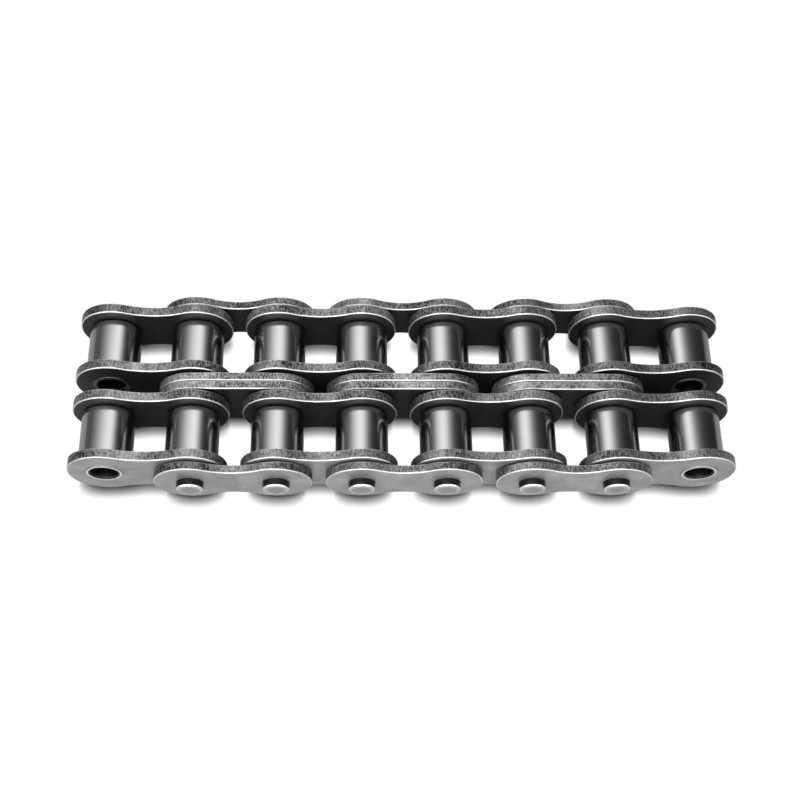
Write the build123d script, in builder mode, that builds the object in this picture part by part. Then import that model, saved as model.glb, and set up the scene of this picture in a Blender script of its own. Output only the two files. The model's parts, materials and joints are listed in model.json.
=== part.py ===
from build123d import *
import math
import os

# Double-strand roller chain, seven pitches long, 12.70 mm pitch.
#
# Row frame: +X along the chain, +Y along the pins (the front strand is the
# one at -Y), +Z up.  The origin is the middle of the chain on the pin axes.

# ---------------------------------------------------------------- dimensions
PITCH = 12.70                 # pin axis to pin axis along the chain
STRAND_PITCH = 14.38          # middle of one strand to middle of the other
NODES = 8                     # roller axes along the chain

ROLLER_R = 7.92 / 2
ROLLER_BORE_R = 5.68 / 2
ROLLER_W = 7.70
ROLLER_CHAMFER = 0.30

INNER_W = 7.95                # clear width between a roller link's plates
BUSH_R = 5.60 / 2
BUSH_BORE_R = 4.01 / 2
BUSH_PROUD = 0.08             # bush end beyond the plate's outer face
BUSH_MOUTH = 0.28             # chamfer at the mouth of the bush bore
BUSH_RIM = 0.12               # chamfer on the outer edge of the bush end

LINK_T = 1.50                 # roller link plate
LINK_HALF_H = 12.00 / 2       # half height at the lobes
LINK_HALF_W = 9.50 / 2        # half height at the waist
LINK_REACH = 5.40             # plate end beyond the bush axis
LINK_END_SHIFT = 1.80         # end arc's centre, inboard of the bush axis

PIN_R = 3.97 / 2
PIN_PROUD = 1.20              # pin end beyond the outer plate
PIN_BEVEL = 0.32
PIN_DISH_R = 1.20             # shallow spun recess in each pin end
PIN_DISH_DEPTH = 0.07

OUTER_T = 1.30                # pin link outer plate
OUTER_R = 10.80 / 2           # lobe radius, the same at top and end
OUTER_HALF_W = 7.70 / 2       # half height at the waist
OUTER_GAP = 0.30              # outer plate to roller link plate
CENTRE_T = 1.30               # pin link centre plate, two side by side
CENTRE_R = 10.80 / 2
CENTRE_GAP = 0.10             # between the two centre plates

EDGE_R = 0.14                 # rolled edge of the stamped plates

# --------------------------------------------------------------- derived
HALF_W = INNER_W / 2
FRONT_Y = -STRAND_PITCH / 2
REAR_Y = STRAND_PITCH / 2
BUSH_HALF = HALF_W + LINK_T + BUSH_PROUD
OUTER_FACE = STRAND_PITCH / 2 + HALF_W + LINK_T + OUTER_GAP     # inner side
PIN_HALF = OUTER_FACE + OUTER_T + PIN_PROUD


def node_x(number):
    """X of a roller axis, numbered 1 to 8 from the left."""
    return (number - (NODES + 1) / 2) * PITCH


def facing(x, y):
    """Sketch plane across the chain at y: local x is +X, local y is +Z,
    and an extrusion of a positive amount runs towards -Y."""
    return Plane(origin=(x, y, 0), x_dir=(1, 0, 0), z_dir=(0, -1, 0))


def polar(centre, radius, degrees):
    a = math.radians(degrees)
    return (centre[0] + radius * math.cos(a), centre[1] + radius * math.sin(a))


def heading(a, b):
    return math.degrees(math.atan2(b[1] - a[1], b[0] - a[0]))


def waisted_quarter(half_h, half_w, reach, end_shift):
    """Arcs of the upper right quarter of a waisted plate, end to waist.

    Returns (centre, radius, first angle, last angle) tuples.  A large end
    arc runs into the crown arc, whose top lies above the bore, and a hollow
    waist arc is tangent to the crown.
    """
    bore = (PITCH / 2, 0.0)
    arcs = []
    if end_shift > 0:
        end_c = (bore[0] - end_shift, 0.0)
        end_r = reach + end_shift
        # crown arc: top at half_h, tangent inside the end arc
        crown_r = (end_r ** 2 - end_shift ** 2 - half_h ** 2) / (2 * (end_r - half_h))
        crown_c = (bore[0], half_h - crown_r)
        meet = heading(end_c, crown_c)
        arcs.append((end_c, end_r, 0.0, meet))
        start = meet
    else:
        crown_r = half_h
        crown_c = bore
        start = 0.0
    # waist arc: bottom at half_w on the plate's middle, tangent to the crown
    drop = half_w - crown_c[1]
    waist_r = (crown_c[0] ** 2 + drop ** 2 - crown_r ** 2) / (2 * (crown_r - drop))
    waist_c = (0.0, half_w + waist_r)
    toward = heading(crown_c, waist_c)
    arcs.append((crown_c, crown_r, start, toward))
    arcs.append((waist_c, waist_r, toward - 180.0, -90.0))
    return arcs


def waisted_plate(label, x, y_back, thickness, bore_r, half_h, half_w, reach, end_shift):
    with BuildPart() as plate:
        with BuildSketch(facing(x, y_back)):
            with BuildLine():
                for centre, radius, a0, a1 in waisted_quarter(half_h, half_w, reach, end_shift):
                    ThreePointArc(
                        polar(centre, radius, a0),
                        polar(centre, radius, (a0 + a1) / 2),
                        polar(centre, radius, a1),
                    )
                mirror(about=Plane.XZ)
                mirror(about=Plane.YZ)
            make_face()
        extrude(amount=thickness)
        flat = plate.faces().filter_by(Axis.Y)
        fillet(flat.edges(), radius=EDGE_R)
        with BuildSketch(facing(x, y_back)):
            with Locations((-PITCH / 2, 0), (PITCH / 2, 0)):
                Circle(bore_r)
        extrude(amount=thickness, mode=Mode.SUBTRACT)
    finish(plate, label)


def straight_plate(label, x, y_back, thickness, bore_r, radius):
    with BuildPart() as plate:
        with BuildSketch(facing(x, y_back)):
            SlotCenterToCenter(PITCH, 2 * radius)
        extrude(amount=thickness)
        flat = plate.faces().filter_by(Axis.Y)
        fillet(flat.edges(), radius=EDGE_R)
        with BuildSketch(facing(x, y_back)):
            with Locations((-PITCH / 2, 0), (PITCH / 2, 0)):
                Circle(bore_r)
        extrude(amount=thickness, mode=Mode.SUBTRACT)
    finish(plate, label)


def bush_pair(label, x, y_mid):
    """Two bushes, one at each end of a roller link."""
    with BuildPart() as bushes:
        with BuildSketch(facing(x, y_mid)):
            with Locations((-PITCH / 2, 0), (PITCH / 2, 0)):
                Circle(BUSH_R)
                Circle(BUSH_BORE_R, mode=Mode.SUBTRACT)
        extrude(amount=BUSH_HALF, both=True)
        rings = bushes.edges().filter_by(GeomType.CIRCLE)
        chamfer(rings.filter_by(lambda e: abs(e.radius - BUSH_R) < 1e-4), length=BUSH_RIM)
        rings = bushes.edges().filter_by(GeomType.CIRCLE)
        chamfer(rings.filter_by(lambda e: abs(e.radius - BUSH_BORE_R) < 1e-4), length=BUSH_MOUTH)
    finish(bushes, label)


def roller(label, x, y_mid):
    with BuildPart() as tube:
        with BuildSketch(facing(x, y_mid)):
            Circle(ROLLER_R)
            Circle(ROLLER_BORE_R, mode=Mode.SUBTRACT)
        extrude(amount=ROLLER_W / 2, both=True)
        rims = tube.edges().filter_by(GeomType.CIRCLE)
        chamfer(rims.filter_by(lambda e: abs(e.radius - ROLLER_R) < 1e-4), length=ROLLER_CHAMFER)
    finish(tube, label)


def long_pin(label, x):
    """One pin through both strands, its ends spun over outside the plates."""
    with BuildPart() as pin:
        with BuildSketch(facing(x, 0)):
            Circle(PIN_R)
        extrude(amount=PIN_HALF, both=True)
        chamfer(pin.edges().filter_by(GeomType.CIRCLE), length=PIN_BEVEL)
        for y_face, amount in ((-PIN_HALF, -PIN_DISH_DEPTH), (PIN_HALF, PIN_DISH_DEPTH)):
            with BuildSketch(facing(x, y_face)):
                Circle(PIN_DISH_R)
            extrude(amount=amount, mode=Mode.SUBTRACT)
    finish(pin, label)


def finish(name, label):
    name.part.label = label
    export_step(name.part, f"parts/{label}.step")


# ------------------------------------------------------------------ build
os.makedirs("parts", exist_ok=True)

# Roller links: nodes 1-2, 3-4, 5-6 and 7-8 of each strand
for strand, y_mid in (("front", FRONT_Y), ("rear", REAR_Y)):
    for link in range(1, 5):
        x_mid = (node_x(2 * link - 1) + node_x(2 * link)) / 2
        for side, y_back in (
            ("front", y_mid - HALF_W),
            ("rear", y_mid + HALF_W + LINK_T),
        ):
            waisted_plate(
                f"{strand}_link_{link}_{side}_plate", x_mid, y_back, LINK_T, BUSH_R,
                LINK_HALF_H, LINK_HALF_W, LINK_REACH, LINK_END_SHIFT,
            )
        bush_pair(f"{strand}_link_{link}_bushes", x_mid, y_mid)
    for number in range(1, NODES + 1):
        roller(f"{strand}_roller_{number}", node_x(number), y_mid)

# Pin links: nodes 2-3, 4-5 and 6-7, across both strands
for link in range(1, 4):
    x_mid = (node_x(2 * link) + node_x(2 * link + 1)) / 2
    for side, y_back in (("front", -OUTER_FACE), ("rear", OUTER_FACE + OUTER_T)):
        waisted_plate(
            f"pin_link_{link}_{side}_plate", x_mid, y_back, OUTER_T, PIN_R,
            OUTER_R, OUTER_HALF_W, OUTER_R, 0.0,
        )
    for side, y_back in (
        ("front", -CENTRE_GAP / 2),
        ("rear", CENTRE_GAP / 2 + CENTRE_T),
    ):
        straight_plate(
            f"pin_link_{link}_centre_plate_{side}", x_mid, y_back, CENTRE_T, PIN_R, CENTRE_R,
        )
    for number in (2 * link, 2 * link + 1):
        long_pin(f"pin_{number}", node_x(number))
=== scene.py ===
import json
import math

import bpy
import numpy as np
from mathutils import Matrix, Vector


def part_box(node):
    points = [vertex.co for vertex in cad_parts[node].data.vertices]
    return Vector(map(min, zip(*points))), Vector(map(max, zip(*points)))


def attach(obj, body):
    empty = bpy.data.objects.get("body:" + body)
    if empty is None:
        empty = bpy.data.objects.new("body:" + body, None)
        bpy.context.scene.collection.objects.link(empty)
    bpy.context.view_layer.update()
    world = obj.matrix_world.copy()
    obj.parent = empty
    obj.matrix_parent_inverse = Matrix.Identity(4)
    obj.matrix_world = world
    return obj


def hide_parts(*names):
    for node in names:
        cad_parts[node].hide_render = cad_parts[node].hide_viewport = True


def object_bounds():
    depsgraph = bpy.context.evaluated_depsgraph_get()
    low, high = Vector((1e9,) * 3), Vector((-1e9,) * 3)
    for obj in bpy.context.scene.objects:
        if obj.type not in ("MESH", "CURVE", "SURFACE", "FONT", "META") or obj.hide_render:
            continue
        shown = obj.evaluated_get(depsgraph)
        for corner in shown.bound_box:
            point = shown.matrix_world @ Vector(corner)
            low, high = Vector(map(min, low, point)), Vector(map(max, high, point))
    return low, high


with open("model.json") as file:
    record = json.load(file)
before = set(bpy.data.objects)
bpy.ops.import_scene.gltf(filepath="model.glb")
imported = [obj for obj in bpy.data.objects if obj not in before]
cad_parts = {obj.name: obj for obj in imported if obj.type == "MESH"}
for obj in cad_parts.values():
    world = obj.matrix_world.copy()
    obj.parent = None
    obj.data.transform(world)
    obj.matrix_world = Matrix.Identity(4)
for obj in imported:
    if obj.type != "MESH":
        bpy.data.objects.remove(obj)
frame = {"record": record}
CAD_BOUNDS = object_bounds()

MM = 0.001
scene = bpy.context.scene
record = frame["record"]
BODY_OF = {n: b for b, ns in record["behaviour"]["bodies"].items() for n in ns}
SLOT_OF = {s["node"]: s["material_slot"] for s in record["subparts"]}

# ------------------------------------------------------------------ sizes, mm
PITCH = 12.70
ROLLER_R, ROLLER_BORE = 3.96, 2.84
ROLLER_EDGE = 0.34
BUSH_R, BUSH_BORE = 2.80, 2.005
PIN_R = 1.985
LINK = dict(half_h=6.0, half_w=4.75, reach=5.4, end_shift=1.8)
OUTER = dict(half_h=5.4, half_w=3.85, reach=5.4, end_shift=0.0)


# ------------------------------------------------------------------ outlines
def polar(c, r, deg):
    a = math.radians(deg)
    return (c[0] + r * math.cos(a), c[1] + r * math.sin(a))


def heading(a, b):
    return math.degrees(math.atan2(b[1] - a[1], b[0] - a[0]))


def waisted_quarter(half_h, half_w, reach, end_shift):
    bore = (PITCH / 2, 0.0)
    arcs = []
    start = 0.0
    crown_r, crown_c = half_h, bore
    if end_shift > 0:
        end_c = (bore[0] - end_shift, 0.0)
        end_r = reach + end_shift
        crown_r = (end_r ** 2 - end_shift ** 2 - half_h ** 2) / (2 * (end_r - half_h))
        crown_c = (bore[0], half_h - crown_r)
        start = heading(end_c, crown_c)
        arcs.append((end_c, end_r, 0.0, start))
    drop = half_w - crown_c[1]
    waist_r = (crown_c[0] ** 2 + drop ** 2 - crown_r ** 2) / (2 * (crown_r - drop))
    waist_c = (0.0, half_w + waist_r)
    toward = heading(crown_c, waist_c)
    arcs.append((crown_c, crown_r, start, toward))
    arcs.append((waist_c, waist_r, toward - 180.0, -90.0))
    return arcs


def closed_outline(quarter, step):
    """Evenly spaced points of the whole outline, anticlockwise from the right end."""
    dense = []
    for c, r, a0, a1 in quarter:
        n = max(8, int(abs(math.radians(a1 - a0)) * r / 0.02))
        for k in range(n):
            dense.append(polar(c, r, a0 + (a1 - a0) * k / n))
    c, r, a0, a1 = quarter[-1]
    dense.append(polar(c, r, a1))
    q = np.array(dense)
    top_left = (q * (-1, 1))[::-1][1:]
    top = np.vstack([q, top_left])
    bottom = (top * (1, -1))[::-1][1:-1]
    loop = np.vstack([top, bottom])
    closed = np.vstack([loop, loop[:1]])
    seg = np.linalg.norm(np.diff(closed, axis=0), axis=1)
    s = np.concatenate([[0], np.cumsum(seg)])
    count = int(round(s[-1] / step / 4)) * 4
    t = np.arange(count) * s[-1] / count
    return np.stack([np.interp(t, s, closed[:, 0]), np.interp(t, s, closed[:, 1])], 1)


def slot_quarter(radius):
    bore = (PITCH / 2, 0.0)
    return [(bore, radius, 0.0, 90.0)]


def slot_outline(radius, step):
    arc = [polar((PITCH / 2, 0.0), radius, a) for a in np.linspace(0, 90, 200)]
    q = np.vstack([arc, [(x, radius) for x in np.linspace(PITCH / 2, 0, 200)[1:]]])
    top_left = (q * (-1, 1))[::-1][1:]
    top = np.vstack([q, top_left])
    bottom = (top * (1, -1))[::-1][1:-1]
    loop = np.vstack([top, bottom])
    closed = np.vstack([loop, loop[:1]])
    s = np.concatenate([[0], np.cumsum(np.linalg.norm(np.diff(closed, axis=0), axis=1))])
    count = int(round(s[-1] / step / 4)) * 4
    t = np.arange(count) * s[-1] / count
    return np.stack([np.interp(t, s, closed[:, 0]), np.interp(t, s, closed[:, 1])], 1)


def outline_normals(p):
    d = np.roll(p, -1, 0) - np.roll(p, 1, 0)
    n = np.stack([d[:, 1], -d[:, 0]], 1)
    return n / np.linalg.norm(n, axis=1, keepdims=True)


def smooth_noise(rng, count, width):
    """Closed 1-D noise of unit spread, smoothed over `width` samples."""
    v = rng.standard_normal(count)
    if width > 0:
        f = np.fft.rfftfreq(count)
        v = np.fft.irfft(np.fft.rfft(v) * np.exp(-(f * width * 2.2) ** 2), count)
    return v / (v.std() + 1e-9)


# ------------------------------------------------------------------ meshes
def make_object(name, verts_mm, faces, smooth, attrs=None):
    mesh = bpy.data.meshes.new(name)
    mesh.from_pydata((np.asarray(verts_mm) * MM).tolist(), [], faces)
    mesh.validate()
    mesh.update()
    mesh.polygons.foreach_set("use_smooth", np.asarray(smooth, dtype=bool))
    for key, values in (attrs or {}).items():
        a = mesh.attributes.new(key, "FLOAT", "POINT")
        a.data.foreach_set("value", np.asarray(values, dtype=np.float32))
    obj = bpy.data.objects.new(name, mesh)
    scene.collection.objects.link(obj)
    return obj


def plate(node, x_mid, y_front, thick, outline, bores, bore_r, seed, front_painted_shade, rear_painted_shade, front_r=0.22, back_r=0.15):
    """A stamped plate: rolled edge, sheared wall with fine scores, and bores."""
    rng = np.random.default_rng(seed)
    pts = outline
    nrm = outline_normals(pts)
    n = len(pts)
    rings, edge, wall = [], [], []
    steps = 5
    # (inset, y, how far round the rolled edge) of each ring, front face to rear face
    prof, back = [], []
    for k in range(steps + 1):
        a = math.pi / 2 * k / steps
        prof.append((front_r * (1 - math.sin(a)), front_r * (1 - math.cos(a)), k / steps))
        back.append((back_r * (1 - math.sin(a)), thick - back_r * (1 - math.cos(a)), k / steps))
    y_a, y_b = front_r, thick - back_r
    inner = [(0.0, y_a + (y_b - y_a) * k / 6, 1.0) for k in range(1, 6)]
    prof = prof + inner + back[::-1]
    # scores: across the thickness, deeper in the torn two thirds than in the cut third
    fine = smooth_noise(rng, n, 1.2)
    mid = smooth_noise(rng, n, 4)
    broad = smooth_noise(rng, n, 14)
    verts = []
    for inset, y, e in prof:
        t = y / thick
        torn = min(1.0, max(0.0, (t - 0.22) / 0.2)) * min(1.0, max(0.0, (0.97 - t) / 0.06))
        local = smooth_noise(rng, n, 2.0)
        depth = torn * (0.010 * np.clip(fine, -2, 2) + 0.008 * np.clip(mid, -2, 2) + 0.005 * np.clip(local, -2, 2))
        depth = depth + 0.006 * np.clip(broad, -2, 2) * min(1.0, e)
        off = -inset - 0.036 * torn * 0.6 - 0.012 * min(1.0, e) + depth
        off = np.minimum(off, -inset) - 0.006
        p = pts + nrm * off[:, None]
        verts.append(np.stack([x_mid + p[:, 0], np.full(n, y_front + y), p[:, 1]], 1))
    m = len(prof)
    ring_kind = np.array([abs(e - 0.5) < 0.49 for _, _, e in prof], float)
    # painted highlight: the rolled edges are brightened, the front rims more than the rear ones
    rim_highlight = [(1.0 if y < thick / 2 else 0.45) * min(1.0, 1.6 - 1.6 * abs(2 * e - 1.0)) if 0 < e < 1 else 0.0 for _, y, e in prof]
    wallv = [1.0 if e >= 1.0 else max(0.0, e * 1.5 - 0.5) for _, _, e in prof]
    faces, smooth = [], []
    for k in range(m - 1):
        a, b = k * n, (k + 1) * n
        for i in range(n):
            j = (i + 1) % n
            faces.append((a + i, b + i, b + j, a + j))
            smooth.append(True)
    vlist = [v for v in verts]
    edge = np.repeat(rim_highlight, n).tolist()
    wall = np.repeat(wallv, n).tolist()
    # painted shade: the faces inside the chain get a darkened colour
    painted_shade = np.repeat([(front_painted_shade if y < thick / 2 else rear_painted_shade) if e <= 0.0 else 0.0 for _, y, e in prof], n).tolist()
    total = m * n
    # bores: a small rolled edge and a plain wall
    hn = 72
    hole_front, hole_back = [], []
    er = 0.07
    hprof = [(er * (1 - math.sin(a)), er * (1 - math.cos(a))) for a in np.linspace(0, math.pi / 2, 4)]
    hprof = hprof + [(i, thick - y) for i, y in hprof[::-1]]
    for bx in bores:
        ang = np.linspace(0, 2 * math.pi, hn, endpoint=False)
        base = total
        for inset, y in hprof:
            r = bore_r + inset
            vlist.append(np.stack([x_mid + bx + r * np.cos(ang), np.full(hn, y_front + y), r * np.sin(ang)], 1))
            # painted highlight on the rolled bore edge, painted shade on the bore wall
            edge += [0.6 if 0 < inset < er else 0.0] * hn
            wall += [0.0] * hn
            painted_shade += [(front_painted_shade if y < thick / 2 else rear_painted_shade) if inset >= er * 0.99 else 0.6] * hn
            total += hn
        for k in range(len(hprof) - 1):
            a, b = base + k * hn, base + (k + 1) * hn
            for i in range(hn):
                j = (i + 1) % hn
                faces.append((a + i, a + j, b + j, b + i))
                smooth.append(True)
        hole_front.append(list(range(base, base + hn)))
        hole_back.append(list(range(base + (len(hprof) - 1) * hn, base + len(hprof) * hn)))
    allv = np.vstack(vlist)
    # caps: the outline and the bore loops are filled with flat triangles
    for ring, holes, flip in (
        (list(range(0, n)), hole_front, False),
        (list(range((m - 1) * n, m * n)), hole_back, True),
    ):
        loops = [[Vector((allv[i][0], allv[i][2], 0)) for i in ring]]
        ids = list(ring)
        for h in holes:
            loops.append([Vector((allv[i][0], allv[i][2], 0)) for i in h][::-1])
            ids += h[::-1]
        from mathutils.geometry import tessellate_polygon
        for tri in tessellate_polygon(loops):
            t = [ids[i] for i in tri]
            p = [allv[i] for i in t]
            ny = np.cross(p[1] - p[0], p[2] - p[0])[1]
            want = 1 if flip else -1
            if ny * want < 0:
                t = t[::-1]
            faces.append(tuple(t))
            smooth.append(False)
    # the flat faces own their points, so their shade doesn't bleed over the rolled edge
    return make_object(node + ".look", allv, faces, smooth, {"rim_highlight": edge, "wall": wall, "painted_shade": painted_shade})


# the per-point attribute argument holds pairs of painted edge highlight and painted shade values
def lathe(name, x, profile, segments=96, closed=True, rim_highlight=None, y0=0.0):
    """Profile of (radius, y) turned about the line x, z = 0; a zero radius is a pole."""
    ang = np.linspace(0, 2 * math.pi, segments, endpoint=False)
    verts, faces, smooth, rings, attr = [], [], [], [], []
    for k, (r, y) in enumerate(profile):
        if r <= 1e-6:
            rings.append([len(verts)])
            verts.append((x, y0 + y, 0.0))
            attr.append(rim_highlight[k])
        else:
            start = len(verts)
            verts += [(x + r * math.cos(a), y0 + y, r * math.sin(a)) for a in ang]
            rings.append(list(range(start, start + segments)))
            attr += [rim_highlight[k]] * segments
    m = len(rings)
    for k in range(m if closed else m - 1):
        a, b = rings[k], rings[(k + 1) % m]
        for i in range(segments):
            j = (i + 1) % segments
            if len(a) == 1 and len(b) == 1:
                break
            if len(a) == 1:
                faces.append((a[0], b[j], b[i]))
            elif len(b) == 1:
                faces.append((a[i], a[j], b[0]))
            else:
                faces.append((a[i], a[j], b[j], b[i]))
            smooth.append(True)
    return verts, faces, smooth, attr


def arc_pts(cx, cy, r, a0, a1, n):
    return [(cx + r * math.cos(math.radians(a)), cy + r * math.sin(math.radians(a))) for a in np.linspace(a0, a1, n)]


# ------------------------------------------------------------------ pieces
LOOKS = {}          # node -> object


def own(obj, node):
    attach(obj, BODY_OF[node])
    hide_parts(node)
    LOOKS[node] = obj
    return obj


def span(node):
    lo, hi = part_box(node)
    return [v / MM for v in lo], [v / MM for v in hi]


STEP = 0.16
LINK_PTS = closed_outline(waisted_quarter(**LINK), STEP)
OUTER_PTS = closed_outline(waisted_quarter(**OUTER), STEP)
CENTRE_PTS = slot_outline(5.4, STEP)

for index, node in enumerate(sorted(BODY_OF)):
    lo, hi = span(node)
    x_mid, y_mid = (lo[0] + hi[0]) / 2, (lo[1] + hi[1]) / 2
    half = (hi[1] - lo[1]) / 2
    kind = SLOT_OF[node]
    if kind in ("link_plate", "outer_plate", "centre_plate"):
        pts = {"link_plate": LINK_PTS, "outer_plate": OUTER_PTS, "centre_plate": CENTRE_PTS}[kind]
        bore = BUSH_R if kind == "link_plate" else PIN_R
        front_painted_shade, rear_painted_shade = 1.0, 1.0            # faces inside the chain are darkened: painted shade between the parts
        if node.startswith("front_link") and "front_plate" in node or kind == "outer_plate" and "front_plate" in node:
            front_painted_shade = 0.0
        if node.startswith("rear_link") and "rear_plate" in node or kind == "outer_plate" and "rear_plate" in node:
            rear_painted_shade = 0.0
        obj = plate(node, x_mid, lo[1], hi[1] - lo[1], pts, (-PITCH / 2, PITCH / 2), bore, 1000 + index, front_painted_shade, rear_painted_shade)
    elif kind == "roller":
        e = ROLLER_EDGE
        wall = [(ROLLER_R, y) for y in np.linspace(-half + e, half - e, 9)][1:-1]
        left = arc_pts(ROLLER_R - e, -half + e, e, -90, 0, 7)
        right = arc_pts(ROLLER_R - e, half - e, e, 0, 90, 7)
        b = 0.12
        inner = arc_pts(ROLLER_BORE + b, half - b, b, 90, 180, 4) + arc_pts(ROLLER_BORE + b, -half + b, b, 180, 270, 4)
        prof = left + wall + right + inner
        # painted highlight on the rounded ends; painted shade on the end faces, darkest in the bore
        rim_highlight = [0.2, 0.5, 0.9, 1.0, 0.9, 0.5, 0.0] + [0.0] * len(wall) + [0.0, 0.5, 0.9, 1.0, 0.9, 0.5, 0.2] + [0.0] * 8
        painted_shade_pts = [0.5] + [0.0] * (12 + len(wall)) + [0.5] + [1.0] * 8
        v, f, s, a = lathe(node, x_mid, prof, 128, True, list(zip(rim_highlight, painted_shade_pts)), y_mid)
        obj = make_object(node + ".look", v, f, s, {"rim_highlight": [t[0] for t in a], "painted_shade": [t[1] for t in a]})
    elif kind == "bush":
        verts, faces, smooth, attr = [], [], [], []
        for bx in (-PITCH / 2, PITCH / 2):
            o, m = 0.13, 0.28
            outer_a = arc_pts(BUSH_R - o, -half + o, o, -90, 0, 5)
            outer_b = arc_pts(BUSH_R - o, half - o, o, 0, 90, 5)
            mouth_b = [(BUSH_BORE + m, half - 0.01), (BUSH_BORE + m - 0.05, half - 0.035), (BUSH_BORE + 0.03, half - m + 0.03), (BUSH_BORE, half - m - 0.03)]
            mouth_a = [(r, -y) for r, y in mouth_b[::-1]]
            prof = outer_a + outer_b + [(BUSH_BORE + m + 0.03, half)] + mouth_b + [(BUSH_BORE, 0)] + mouth_a + [(BUSH_BORE + m + 0.03, -half)]
            # painted highlight on the mouth ring; painted shade on the outer wall, in the bore and on the ends facing
            # the gap between strands
            rim_highlight = [0.8, 0.0, 0.0, 0.0, 0.0] + [0.0, 0.0, 0.0, 0.0, 0.8] + [1.0, 1.0, 0.8, 0.0, 0.0] + [0.0] + [0.0, 0.0, 0.8, 1.0, 1.0]
            gap_shade_a = 0.0 if node.startswith("front") else 0.8     # painted shade on the ends in the gap between strands
            gap_shade_b = 0.8 - gap_shade_a
            painted_shade_pts = [max(gap_shade_a, 0.15)] + [max(gap_shade_a, 0.55)] * 4 + [max(gap_shade_b, 0.55)] * 4 + [max(gap_shade_b, 0.15)] + [gap_shade_b, 1.0] + [1.0, 1.0, 1.0, 1.0, 1.0, 1.0, 1.0, 1.0, gap_shade_a]
            v, f, s, a = lathe(node, x_mid + bx, prof, 96, True, list(zip(rim_highlight, painted_shade_pts)), y_mid)
            base = len(verts)
            verts += v
            faces += [tuple(i + base for i in t) for t in f]
            smooth += s
            attr += a
        obj = make_object(node + ".look", verts, faces, smooth, {"rim_highlight": [t[0] for t in attr], "painted_shade": [t[1] for t in attr]})
    else:
        # pin: bevelled, spun ends with a shallow raised ring round a recess
        bev = 0.22
        end = [(0.0, 0.075), (0.55, 0.07), (0.95, 0.06), (1.12, 0.035), (1.20, 0.012), (1.28, 0.0), (1.52, 0.0)]
        corner = [(PIN_R - bev, 0.006), (PIN_R - bev + 0.04, 0.025), (PIN_R - 0.04, bev - 0.04), (PIN_R - 0.01, bev), (PIN_R, bev + 0.04)]
        one = [(r, -half + d) for r, d in end + corner]
        mid = [(PIN_R, y) for y in np.linspace(-half + 1.2, half - 1.2, 9)]
        two = [(r, half - d) for r, d in (end + corner)[::-1]]
        # painted highlight on the bevel ring of each end; painted shade on the pin's side
        rim_highlight_end = [0.0, 0.0, 0.05, 0.1, 0.15, 0.25, 0.4] + [0.8, 1.0, 1.0, 0.6, 0.0]
        painted_shade_end = [0.0] * 11 + [1.0]
        prof = one + mid + two
        both = list(zip(rim_highlight_end + [0.0] * len(mid) + rim_highlight_end[::-1], painted_shade_end + [1.0] * len(mid) + painted_shade_end[::-1]))
        v, f, s, a = lathe(node, x_mid, prof, 96, False, both, y_mid)
        obj = make_object(node + ".look", v, f, s, {"rim_highlight": [t[0] for t in a], "painted_shade": [t[1] for t in a]})
    own(obj, node)


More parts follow.
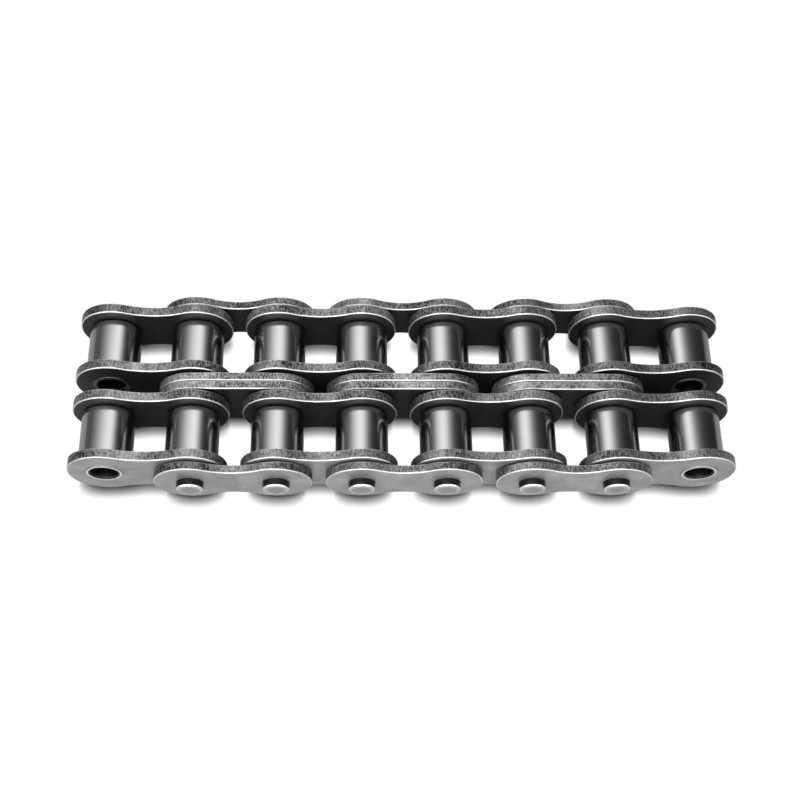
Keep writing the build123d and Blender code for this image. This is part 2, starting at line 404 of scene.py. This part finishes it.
# ------------------------------------------------------------------ materials
def steel(name, base, rough, metallic=1.0, mottle=0.25, grain=0.0, score=0.0, rim_highlight_gain=0.35, scale=1.0, seed=0.0, aniso=0.0, painted_shade_by=0.80, wall_level=0.42):
    """Satin steel: mottled colour, uneven roughness, fine bump, rims brightened as a painted highlight, and colour
    darkened as painted shade where the mesh marks it.
    """
    mat = bpy.data.materials.new(name)
    mat.use_nodes = True
    nt = mat.node_tree
    N, L = nt.nodes, nt.links
    N.clear()
    out = N.new("ShaderNodeOutputMaterial")
    bsdf = N.new("ShaderNodeBsdfPrincipled")
    L.new(bsdf.outputs[0], out.inputs[0])
    tc = N.new("ShaderNodeTexCoord")

    def mapping(sx, sy, sz):
        m = N.new("ShaderNodeMapping")
        m.inputs["Scale"].default_value = (sx, sy, sz)
        m.inputs["Location"].default_value = (seed, seed * 0.37, seed * 0.71)
        L.new(tc.outputs["Object"], m.inputs[0])
        return m

    def noise(sx, sy, sz, detail=3.0, roughness=0.55):
        n = N.new("ShaderNodeTexNoise")
        n.inputs["Scale"].default_value = 1.0
        n.inputs["Detail"].default_value = detail
        n.inputs["Roughness"].default_value = roughness
        L.new(mapping(sx, sy, sz).outputs[0], n.inputs["Vector"])
        return n.outputs["Fac"]

    def math_node(op, a, b=None, clamp=False):
        m = N.new("ShaderNodeMath")
        m.operation = op
        m.use_clamp = clamp
        for k, v in enumerate((a, b)):
            if v is None:
                continue
            if isinstance(v, (int, float)):
                m.inputs[k].default_value = v
            else:
                L.new(v, m.inputs[k])
        return m.outputs[0]

    # coordinates are metres: 1 mm of noise needs a scale of 1000
    cloud = noise(350 * scale, 350 * scale, 350 * scale, 2.0)
    speck = noise(3200 * scale, 3200 * scale, 3200 * scale, 4.0, 0.62)
    hair = noise(4600 * scale, 1500 * scale, 4600 * scale, 3.0, 0.62)      # runs along Y
    attr = N.new("ShaderNodeAttribute")
    attr.attribute_name = "rim_highlight"
    rim_highlight = attr.outputs["Fac"]
    attr2 = N.new("ShaderNodeAttribute")
    attr2.attribute_name = "wall"
    wall = attr2.outputs["Fac"]

    # painted shade: a mesh attribute marks where the colour is darkened to stand in for shade
    attr3 = N.new("ShaderNodeAttribute")
    attr3.attribute_name = "painted_shade"
    painted_shade = attr3.outputs["Fac"]
    patch = math_node("SUBTRACT", noise(170 * scale, 60 * scale, 170 * scale, 2.0), 0.5)
    centred_cloud = math_node("SUBTRACT", cloud, 0.5)
    centred_speck = math_node("SUBTRACT", speck, 0.5)
    centred_hair = math_node("SUBTRACT", hair, 0.5)
    tone = math_node("MULTIPLY", centred_cloud, mottle)
    tone = math_node("ADD", tone, math_node("MULTIPLY", centred_speck, mottle * 1.3))
    wall_hair = math_node("MULTIPLY", centred_hair, wall)
    # painted highlight: the rims' colour is brightened
    tone = math_node("ADD", tone, math_node("MULTIPLY", rim_highlight, rim_highlight_gain))
    face_gain = math_node("ADD", tone, 1.0)
    # the sheared wall is darker and broken up by its scores
    cut = math_node("MULTIPLY", centred_hair, 4.4)
    cut = math_node("ADD", cut, math_node("MULTIPLY", patch, 3.2))
    cut = math_node("ADD", cut, math_node("MULTIPLY", centred_speck, 3.4))
    cut = math_node("MAXIMUM", math_node("ADD", cut, 1.0), 0.10)
    cut = math_node("MULTIPLY", cut, wall_level)
    gain = math_node("ADD", math_node("MULTIPLY", face_gain, math_node("SUBTRACT", 1.0, wall)), math_node("MULTIPLY", cut, wall))
    # the marked parts lose part of their colour as painted shade
    keep = math_node("SUBTRACT", 1.0, math_node("MULTIPLY", painted_shade, painted_shade_by))
    gain = math_node("MAXIMUM", math_node("MULTIPLY", gain, keep), 0.02)
    col = N.new("ShaderNodeMix")
    col.data_type = "RGBA"
    col.blend_type = "MULTIPLY"
    col.inputs["Factor"].default_value = 1.0
    col.inputs["A"].default_value = (*base, 1.0)
    comb = N.new("ShaderNodeCombineColor")
    for k in range(3):
        L.new(gain, comb.inputs[k])
    L.new(comb.outputs[0], col.inputs["B"])
    L.new(col.outputs["Result"], bsdf.inputs["Base Color"])
    r = math_node("MULTIPLY", centred_speck, 0.22)
    r = math_node("ADD", r, math_node("MULTIPLY", centred_cloud, 0.16))
    r = math_node("SUBTRACT", r, math_node("MULTIPLY", rim_highlight, rough * 0.35))
    r = math_node("ADD", r, math_node("MULTIPLY", wall, 0.06))
    r = math_node("ADD", r, rough, clamp=True)
    L.new(r, bsdf.inputs["Roughness"])
    bsdf.inputs["Metallic"].default_value = metallic
    height = math_node("MULTIPLY", centred_speck, grain)
    height = math_node("ADD", height, math_node("MULTIPLY", wall_hair, score * 3.0))
    bump = N.new("ShaderNodeBump")
    bump.inputs["Strength"].default_value = 1.0
    bump.inputs["Distance"].default_value = 0.00002
    L.new(height, bump.inputs["Height"])
    L.new(bump.outputs[0], bsdf.inputs["Normal"])
    if aniso:
        bsdf.inputs["Anisotropic"].default_value = aniso
    return mat


# each steel has its own strength of painted edge highlight and painted shade
MATS = {
    "link_plate": steel("link_plate_steel", (0.42, 0.42, 0.423), 0.40, 0.82, 0.85, 2.0, 0.45, 1.1, 1.0, 1.3, painted_shade_by=0.90, wall_level=0.37),
    "outer_plate": steel("outer_plate_steel", (0.43, 0.43, 0.433), 0.42, 0.80, 0.80, 2.0, 0.40, 1.1, 1.0, 4.1, painted_shade_by=0.90, wall_level=0.37),
    "centre_plate": steel("centre_plate_steel", (0.52, 0.52, 0.523), 0.42, 0.85, 0.35, 1.2, 0.5, 0.5, 1.0, 7.7, painted_shade_by=0.90, wall_level=0.42),
    "roller": steel("roller_steel", (0.40, 0.40, 0.403), 0.17, 1.0, 0.05, 0.10, 0.0, 0.9, 1.0, 2.9, painted_shade_by=0.9),
    "bush": steel("bush_steel", (0.62, 0.62, 0.623), 0.26, 0.9, 0.08, 0.2, 0.0, 0.6, 1.0, 5.3, painted_shade_by=0.97),
    "pin": steel("pin_steel", (0.44, 0.44, 0.443), 0.30, 0.95, 0.18, 0.5, 0.0, 1.2, 1.0, 9.9, painted_shade_by=0.95),
}
for node, obj in LOOKS.items():
    obj.data.materials.clear()
    obj.data.materials.append(MATS[SLOT_OF[node]])


# ------------------------------------------------------------------ stage
lo, hi = CAD_BOUNDS
FLOOR_Z = lo[2]
bpy.ops.mesh.primitive_plane_add(size=6.0, location=(0, 0, FLOOR_Z))
floor = bpy.context.object
floor.name = "floor"
fmat = bpy.data.materials.new("pale_floor")
fmat.use_nodes = True
nt = fmat.node_tree
N, L = nt.nodes, nt.links
N.clear()
out = N.new("ShaderNodeOutputMaterial")
dif = N.new("ShaderNodeBsdfDiffuse")
dif.inputs["Color"].default_value = (0.36, 0.36, 0.36, 1)
# seen directly the sheet is evenly white, with a soft contact shadow where the chain stands on it
ao = N.new("ShaderNodeAmbientOcclusion")
ao.samples = 16
ao.inputs["Distance"].default_value = 0.0020
pw = N.new("ShaderNodeMath")
pw.operation = "POWER"
L.new(ao.outputs["AO"], pw.inputs[0])
pw.inputs[1].default_value = 3.6
k = N.new("ShaderNodeMath")
k.operation = "MULTIPLY"
L.new(pw.outputs[0], k.inputs[0])
k.inputs[1].default_value = 1.02
emi = N.new("ShaderNodeEmission")
emi.inputs["Color"].default_value = (1, 1, 1, 1)
L.new(k.outputs[0], emi.inputs["Strength"])
lp = N.new("ShaderNodeLightPath")
mixf = N.new("ShaderNodeMixShader")
L.new(lp.outputs["Is Camera Ray"], mixf.inputs[0])
L.new(dif.outputs[0], mixf.inputs[1])
L.new(emi.outputs[0], mixf.inputs[2])
L.new(mixf.outputs[0], out.inputs[0])
floor.data.materials.append(fmat)

# ------------------------------------------------------------------ light
world = bpy.data.worlds.new("studio")
scene.world = world
world.use_nodes = True
nt = world.node_tree
N, L = nt.nodes, nt.links
N.clear()
wout = N.new("ShaderNodeOutputWorld")
bg = N.new("ShaderNodeBackground")
tc = N.new("ShaderNodeTexCoord")
sep = N.new("ShaderNodeSeparateXYZ")
L.new(tc.outputs["Generated"], sep.inputs[0])
ang = N.new("ShaderNodeMath")
ang.operation = "ARCTAN2"
L.new(sep.outputs["X"], ang.inputs[0])
L.new(sep.outputs["Z"], ang.inputs[1])
mr = N.new("ShaderNodeMapRange")
mr.inputs["From Min"].default_value = -math.pi
mr.inputs["From Max"].default_value = math.pi
L.new(ang.outputs[0], mr.inputs["Value"])
ramp = N.new("ShaderNodeValToRGB")
ramp.color_ramp.interpolation = "B_SPLINE"
table = [(-180, .05), (-120, .06), (-97, .07), (-77, .12), (-60, .32), (-44, .75), (-29, 1.15), (-12, 1.40), (2, 1.15), (14, .60), (29, .17), (44, .04), (62, .02), (80, .03), (100, .06), (140, .05)]
els = ramp.color_ramp.elements
while len(els) > 1:
    els.remove(els[-1])
PEAK = 1.6
LEVEL = 1.43
for i, (deg, v) in enumerate(table):
    pos = (deg + 180) / 360
    e = els[0] if i == 0 else els.new(pos)
    e.position = pos
    e.color = (v / PEAK, v / PEAK, v / PEAK, 1)
L.new(mr.outputs[0], ramp.inputs[0])


def band(centre, width, strength):
    """A soft bright band of directions around y = centre (sine of the angle)."""
    a = N.new("ShaderNodeMath"); a.operation = "SUBTRACT"
    L.new(sep.outputs["Y"], a.inputs[0]); a.inputs[1].default_value = centre
    b = N.new("ShaderNodeMath"); b.operation = "DIVIDE"
    L.new(a.outputs[0], b.inputs[0]); b.inputs[1].default_value = width
    c = N.new("ShaderNodeMath"); c.operation = "POWER"
    ab = N.new("ShaderNodeMath"); ab.operation = "ABSOLUTE"
    L.new(b.outputs[0], ab.inputs[0])
    L.new(ab.outputs[0], c.inputs[0]); c.inputs[1].default_value = 2.0
    d = N.new("ShaderNodeMath"); d.operation = "MULTIPLY"
    L.new(c.outputs[0], d.inputs[0]); d.inputs[1].default_value = -1.0
    e = N.new("ShaderNodeMath"); e.operation = "EXPONENT"
    L.new(d.outputs[0], e.inputs[0])
    f = N.new("ShaderNodeMath"); f.operation = "MULTIPLY"
    L.new(e.outputs[0], f.inputs[0]); f.inputs[1].default_value = strength
    return f.outputs[0]


def plus(a, b):
    m = N.new("ShaderNodeMath"); m.operation = "ADD"
    L.new(a, m.inputs[0]); L.new(b, m.inputs[1])
    return m.outputs[0]


scaled = N.new("ShaderNodeMath"); scaled.operation = "MULTIPLY"
L.new(ramp.outputs["Color"], scaled.inputs[0]); scaled.inputs[1].default_value = PEAK * LEVEL
total = scaled.outputs[0]
total = plus(total, band(-0.62, 0.42, 2.0))
total = plus(total, band(0.95, 0.22, 1.0))
L.new(total, bg.inputs["Strength"])
bg.inputs["Color"].default_value = (1, 1, 1, 1)
bg2 = N.new("ShaderNodeBackground")
bg2.inputs["Color"].default_value = (1, 1, 1, 1)
bg2.inputs["Strength"].default_value = 1.0
lp = N.new("ShaderNodeLightPath")
mix = N.new("ShaderNodeMixShader")
L.new(lp.outputs["Is Camera Ray"], mix.inputs[0])
L.new(bg.outputs[0], mix.inputs[1])
L.new(bg2.outputs[0], mix.inputs[2])
L.new(mix.outputs[0], wout.inputs[0])

# ------------------------------------------------------------------ light panel
PANEL_H = 0.085
bpy.ops.mesh.primitive_plane_add(size=1.0, location=(0, 0.115, PANEL_H))
panel = bpy.context.object
panel.name = "light_panel"
panel.scale = (0.62, 0.25, 1.0)
panel.visible_camera = False
panel.visible_shadow = False
pmat = bpy.data.materials.new("light_panel")
pmat.use_nodes = True
nt = pmat.node_tree
N, L = nt.nodes, nt.links
N.clear()
pout = N.new("ShaderNodeOutputMaterial")
pem = N.new("ShaderNodeEmission")
pgeo = N.new("ShaderNodeNewGeometry")
psep = N.new("ShaderNodeSeparateXYZ")
L.new(pgeo.outputs["Position"], psep.inputs[0])
pang = N.new("ShaderNodeMath")
pang.operation = "ARCTAN2"
L.new(psep.outputs["X"], pang.inputs[0])
pang.inputs[1].default_value = PANEL_H
pmr = N.new("ShaderNodeMapRange")
pmr.inputs["From Min"].default_value = -math.pi / 2
pmr.inputs["From Max"].default_value = math.pi / 2
L.new(pang.outputs[0], pmr.inputs["Value"])
pramp = N.new("ShaderNodeValToRGB")
pramp.color_ramp.interpolation = "B_SPLINE"
profile = [(-75, .10), (-63, .22), (-51, .58), (-42, .98), (-33, 1.42), (-24, 1.70), (-14, 1.98), (-5, 1.90), (3, 1.55), (9, 1.25), (15, .88), (21, .58), (27, .36), (33, .22), (39, .13), (47, .08), (57, .05), (75, .04)]
els = pramp.color_ramp.elements
while len(els) > 1:
    els.remove(els[-1])
for i, (deg, v) in enumerate(profile):
    e = els[0] if i == 0 else els.new((deg + 90) / 180)
    e.position = (deg + 90) / 180
    e.color = (v / 2, v / 2, v / 2, 1)
L.new(pmr.outputs[0], pramp.inputs[0])
pk = N.new("ShaderNodeMath")
pk.operation = "MULTIPLY"
L.new(pramp.outputs["Color"], pk.inputs[0])
pk.inputs[1].default_value = 2.0
L.new(pk.outputs[0], pem.inputs["Strength"])
L.new(pem.outputs[0], pout.inputs[0])
panel.data.materials.append(pmat)

# ------------------------------------------------------------------ camera
PITCH_DEG, YAW_DEG, ROLL_DEG = 65.0, 5.483, 5.101
CAM = (-8.148, -80.562, 172.138)
FOCAL_PX = 1238.542
e, y, r = (math.radians(v) for v in (PITCH_DEG, YAW_DEG, ROLL_DEG))
F = Vector((math.sin(y) * math.cos(e), math.cos(y) * math.cos(e), -math.sin(e)))
R = F.cross(Vector((0, 0, 1))).normalized()
U = R.cross(F)
R2 = math.cos(r) * R + math.sin(r) * U
U2 = -math.sin(r) * R + math.cos(r) * U
m = Matrix((R2, U2, -F)).transposed().to_4x4()
m.translation = Vector(CAM) * MM
cam_data = bpy.data.cameras.new("camera")
cam = bpy.data.objects.new("camera", cam_data)
scene.collection.objects.link(cam)
cam.matrix_world = m
cam_data.sensor_fit = "HORIZONTAL"
cam_data.sensor_width = 36.0
cam_data.lens = FOCAL_PX / 800 * 36.0
cam_data.clip_start = 0.005
cam_data.clip_end = 20.0
cam_data.dof.use_dof = False
scene.camera = cam
scene.view_settings.view_transform = "Standard"
scene.view_settings.look = "None"
